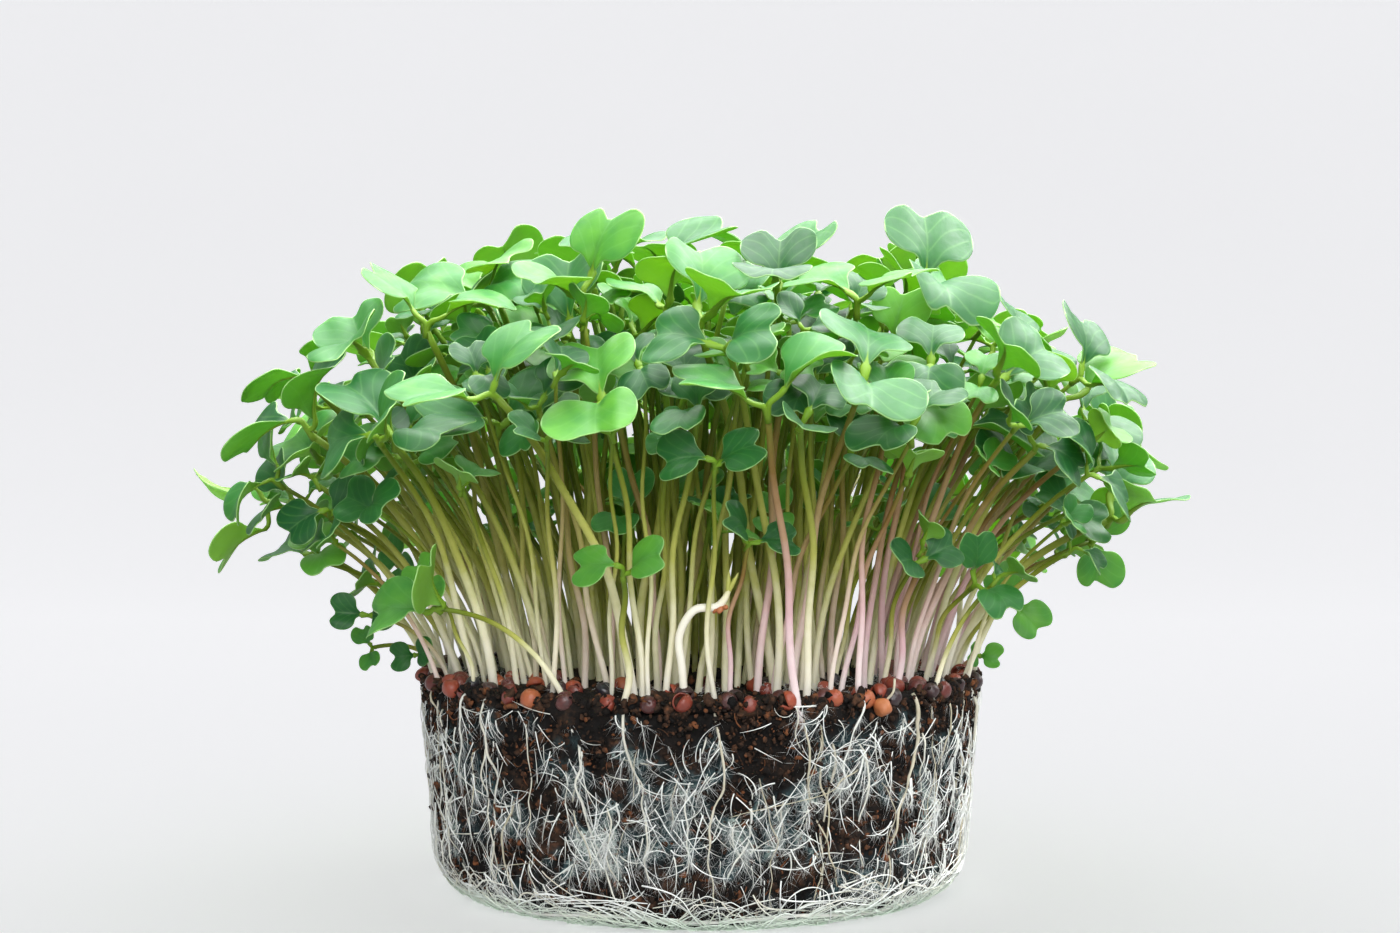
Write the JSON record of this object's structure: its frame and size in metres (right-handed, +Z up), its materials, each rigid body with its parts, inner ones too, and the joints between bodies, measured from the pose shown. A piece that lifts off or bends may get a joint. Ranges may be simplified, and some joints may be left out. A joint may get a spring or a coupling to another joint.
{
  "type": "microgreens plug",
  "caption": "Round plug of root-bound soil carrying a dense dome of microgreens, with bare stems below and notched seed leaves above.",
  "frame": {"origin": "middle of the plug's flat underside, on the plug's axis", "axes": "+Z up along the plug's axis, -Y towards the picture's viewer, +X to the viewer's right"},
  "size_m": [0.1757, 0.1702, 0.1209],
  "materials": {
    "soil": "matte",
    "roots": "matte",
    "seedlings": "satin",
    "sprout": "satin",
    "husks": "satin"
  },
  "bodies": {
    "root": {"soil_plug": "soil", "root_net": "roots", "seedlings_01": "seedlings", "seedlings_02": "seedlings", "seedlings_03": "seedlings", "seedlings_04": "seedlings", "seedlings_05": "seedlings", "seedlings_06": "seedlings", "seedlings_07": "seedlings", "seedlings_08": "seedlings", "seedlings_09": "seedlings", "seedlings_10": "seedlings", "seedlings_11": "seedlings", "seedlings_12": "seedlings", "seedlings_13": "seedlings", "seedlings_14": "seedlings", "seedlings_15": "seedlings", "seedlings_16": "seedlings", "seedlings_17": "seedlings", "seedlings_18": "seedlings", "seedlings_19": "seedlings", "seedlings_20": "seedlings", "seedlings_21": "seedlings", "seedlings_22": "seedlings", "seedlings_23": "seedlings", "seedlings_24": "seedlings", "seedlings_25": "seedlings", "seedlings_26": "seedlings", "seedlings_27": "seedlings", "seedlings_28": "seedlings", "seedlings_29": "seedlings", "seedlings_30": "seedlings", "seedlings_31": "seedlings", "seedlings_33": "seedlings", "seedlings_34": "seedlings", "seedlings_35": "seedlings", "seedlings_36": "seedlings", "seedlings_38": "seedlings", "seedlings_39": "seedlings", "seedlings_40": "seedlings", "seedlings_41": "seedlings", "seedlings_43": "seedlings", "seedlings_44": "seedlings", "seedlings_45": "seedlings", "seedlings_46": "seedlings", "seedlings_49": "seedlings", "seedlings_50": "seedlings", "leaning_seedling": "seedlings", "trailing_seedling_1": "seedlings", "trailing_seedling_2": "seedlings", "trailing_seedling_3": "seedlings", "trailing_seedling_4": "seedlings", "late_sprout": "sprout"}
  },
  "joints": []
}
